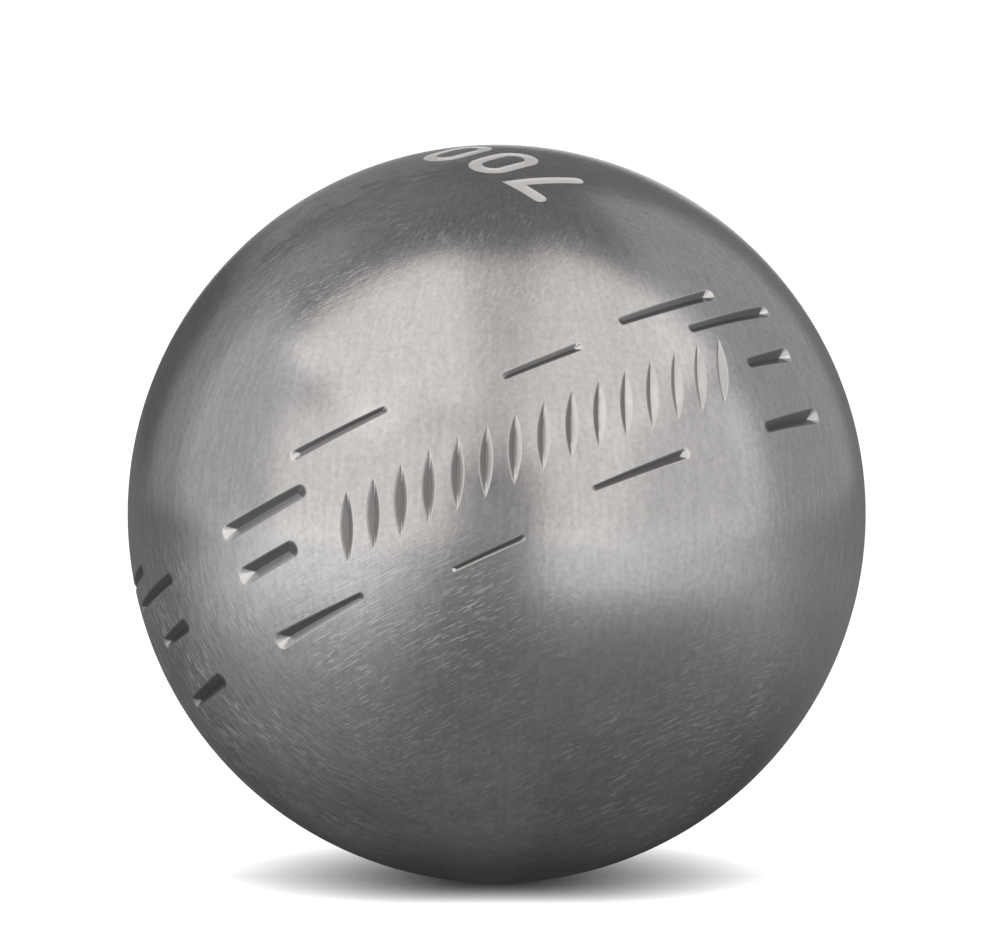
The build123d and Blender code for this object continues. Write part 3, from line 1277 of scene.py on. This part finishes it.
def reflected_only(card):
    """Keeps a card out of the picture and the light, so that only metal shows it."""
    card.visible_camera = False
    card.visible_diffuse = False
    card.visible_shadow = False


def table_grey():
    """Glow of the table card: painted shade under the ball and behind it, painted light before the
    softboxes, and a painted glint to the right.
    """
    material, sheet = new_material("table_grey")
    spot = sheet.node("TexCoord", out="Object")
    reach = sheet.length(spot) * (1 / TABLE_SPAN)
    heading = sheet.heading(spot)
    ahead = sheet.along(heading, toward(GAP_MIDDLE, 0))
    aside = sheet.along(heading, toward(GAP_MIDDLE + 90, 0))
    left = sheet.span(aside, *LEFT_SIDE)
    right = sheet.span(aside, *RIGHT_SIDE)
    front = sheet.span(ahead, *FRONT)
    near = (left + right) * sheet.ramp(reach, TABLE_NEAR)
    shade = sheet.ramp(reach, TABLE_SHADE) * (SHADE_BEHIND + front * (1 - SHADE_BEHIND) - near)
    light = sheet.ramp(reach, TABLE_LIGHT)
    glint = light * light * light * right * sheet.span(ahead, *RIGHT_FRONT)
    beside = sheet.ramp(sheet.span(ahead, -1.0, 1.0), TABLE_BESIDE)
    back = (right + left * LEFT_BACK_SHARE) * beside * sheet.ramp(reach, TABLE_BACK)
    # the card's glow is painted shade, painted light and a painted glint
    sheet.glow(shade + back + light * left * front + glint * GLINT)
    return material


def table_card():
    """Glowing card round the ball, seen only by the metal, whose painted shade and light darken the
    metal's lower half.
    """
    level = [toward(360 * step / TABLE_SIDES, 0) for step in range(TABLE_SIDES)]
    spots = [d * TABLE_HOLE for d in level] + [d * ROOM_RADIUS for d in level]
    faces = []
    for here in range(TABLE_SIDES):
        ahead = (here + 1) % TABLE_SIDES
        faces.append((here, ahead, TABLE_SIDES + ahead, TABLE_SIDES + here))
    card = add_mesh("table_card", spots, faces, table_grey())
    card.location.z = FLOOR_HEIGHT + TABLE_LIFT
    reflected_only(card)


def patch(name, azimuths, elevations, radius, material, opening=None):
    """Part of a room wall round the ball, as azimuths and elevations, with an opening."""
    wide = len(azimuths)
    spots = [toward(a, e) * radius for e in elevations for a in azimuths]
    faces = []
    for row in range(len(elevations) - 1):
        for column in range(wide - 1):
            if opening and opening(azimuths[column], elevations[row]):
                continue
            first = row * wide + column
            faces.append((first, first + 1, first + wide + 1, first + wide))
    reflected_only(add_mesh(name, spots, faces, material))


def behind_ball(azimuth, elevation):
    """Whether a tile of the wall stands where the picture shows white."""
    return abs(azimuth + WALL_TILE / 2 - 180) < OPENING_HALF and elevation < OPENING_TOP


def in_corner(azimuth, elevation):
    return CORNER_START <= azimuth < CORNER_END and elevation < CORNER_TOP


def left_open(azimuth, elevation):
    return behind_ball(azimuth, elevation) or in_corner(azimuth, elevation)


def room_walls():
    """Grey room, darker in the corner behind on the left, and open straight behind the ball."""
    walls = lit_card("room_grey", ROOM_LEVEL)
    azimuths = np.arange(0, 360 + WALL_TILE, WALL_TILE)
    elevations = np.arange(WALL_FOOT, 90 + WALL_TILE, WALL_TILE)
    patch("room_walls", azimuths, elevations, ROOM_RADIUS, walls, left_open)
    corner = lit_card("corner_grey", CORNER_LEVEL)
    azimuths = np.arange(CORNER_START, CORNER_END + WALL_TILE, WALL_TILE)
    elevations = np.arange(WALL_FOOT, CORNER_TOP + WALL_TILE, WALL_TILE)
    patch("room_corner", azimuths, elevations, ROOM_RADIUS, corner, behind_ball)


def camera_cloth():
    """Dark cloth round the camera, between the softboxes."""
    azimuths = np.linspace(GAP_MIDDLE - GAP_HALF, GAP_MIDDLE + GAP_HALF, CLOTH_TILES + 1)
    elevations = np.linspace(CLOTH_FOOT, CLOTH_TOP, CLOTH_TILES + 1)
    patch("camera_cloth", azimuths, elevations, CLOTH_DISTANCE, lit_card("cloth_grey", CLOTH_LEVEL))


make_ball()
make_camera()
make_world()
make_floor()
table_card()
room_walls()
camera_cloth()
for softbox in SOFTBOXES:
    add_softbox(softbox)
for ceiling_box in CEILING_BOXES:
    add_ceiling_box(ceiling_box)

bpy.context.scene.view_settings.view_transform = "Standard"
